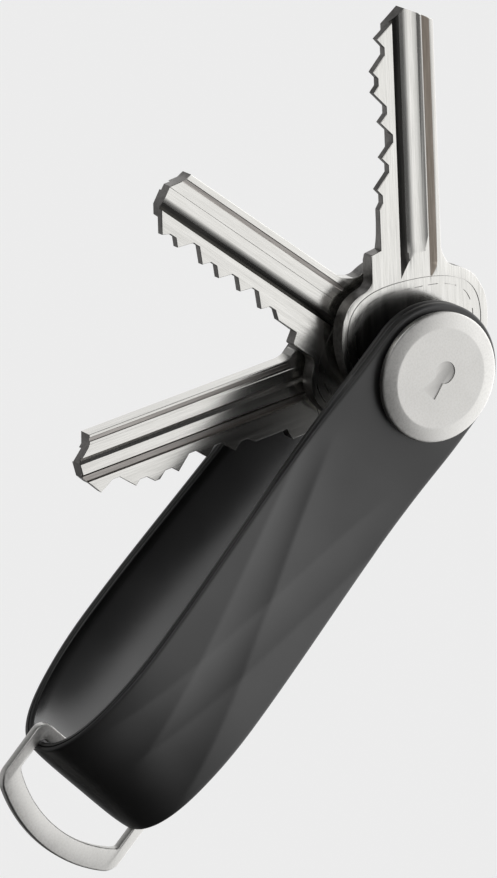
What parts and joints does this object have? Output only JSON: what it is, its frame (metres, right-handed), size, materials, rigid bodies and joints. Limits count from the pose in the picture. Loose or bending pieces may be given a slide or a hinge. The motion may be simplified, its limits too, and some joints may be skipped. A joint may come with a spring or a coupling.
{
  "type": "key organiser",
  "caption": "Folded faceted rubber band closed by a post and coin screw, with keys that fan out sideways and a D-ring in the fold.",
  "frame": {"origin": "on the post's axis, at the outer face of the coin screw's head", "axes": "+X from the post to the D-ring, +Z along the post from the coin screw to the front button, +Y away from the side the keys fan out to"},
  "size_m": [0.1093, 0.0538, 0.0202],
  "materials": {
    "band_rubber": "matte, moulded in long shallow facets",
    "ring_metal": "satin, bead-blasted",
    "button_metal": "fine satin",
    "pellet_nylon": "matte",
    "nylon": "matte",
    "washer_steel": "satin",
    "key_metal": "nickel silver, milled grooves and stamped flats"
  },
  "bodies": {
    "organiser": {"strap": "band_rubber", "front_button": "button_metal", "post_sleeve": "button_metal", "rear_washer": "nylon", "spacer_washer": "washer_steel", "key_washer_rear": "washer_steel", "key_washer_front": "washer_steel", "flat_washer": "washer_steel", "wave_washer": "washer_steel", "front_washer": "nylon"},
    "ring": {"d_ring": "ring_metal"},
    "screw_seat": {"screw_washer": "nylon"},
    "screw": {"coin_screw": "button_metal", "lock_pellet": "pellet_nylon"},
    "front_key": {"key_front": "key_metal"},
    "middle_key": {"key_middle": "key_metal"},
    "rear_key": {"key_rear": "key_metal"}
  },
  "joints": [
    {"name": "key_front_swing", "type": "hinge", "parent": "organiser", "child": "front_key", "pos_m": [0, 0, 0.0133], "axis": [0, 0, 1], "continuous": true},
    {"name": "key_middle_swing", "type": "hinge", "parent": "organiser", "child": "middle_key", "pos_m": [0, 0, 0.0101], "axis": [0, 0, 1], "continuous": true},
    {"name": "key_rear_swing", "type": "hinge", "parent": "organiser", "child": "rear_key", "pos_m": [0, 0, 0.0069], "axis": [0, 0, 1], "continuous": true},
    {"name": "d_ring_swing", "type": "hinge", "parent": "organiser", "child": "ring", "pos_m": [0.0644, 0, 0.0101], "axis": [0, 1, 0], "range_deg": [-76, 76]},
    {"name": "screw_travel", "type": "slide", "parent": "organiser", "child": "screw_seat", "axis": [0, 0, -1], "range_m": [0, 0.0078]},
    {"name": "screw_turn", "type": "hinge", "parent": "screw_seat", "child": "screw", "pos_m": [0, 0, 0], "axis": [0, 0, -1], "range_deg": [0, 4680]}
  ],
  "couplings": [
    {"joint": "screw_travel", "follows": "screw_turn", "m_per_rad": 0.000095493}
  ]
}
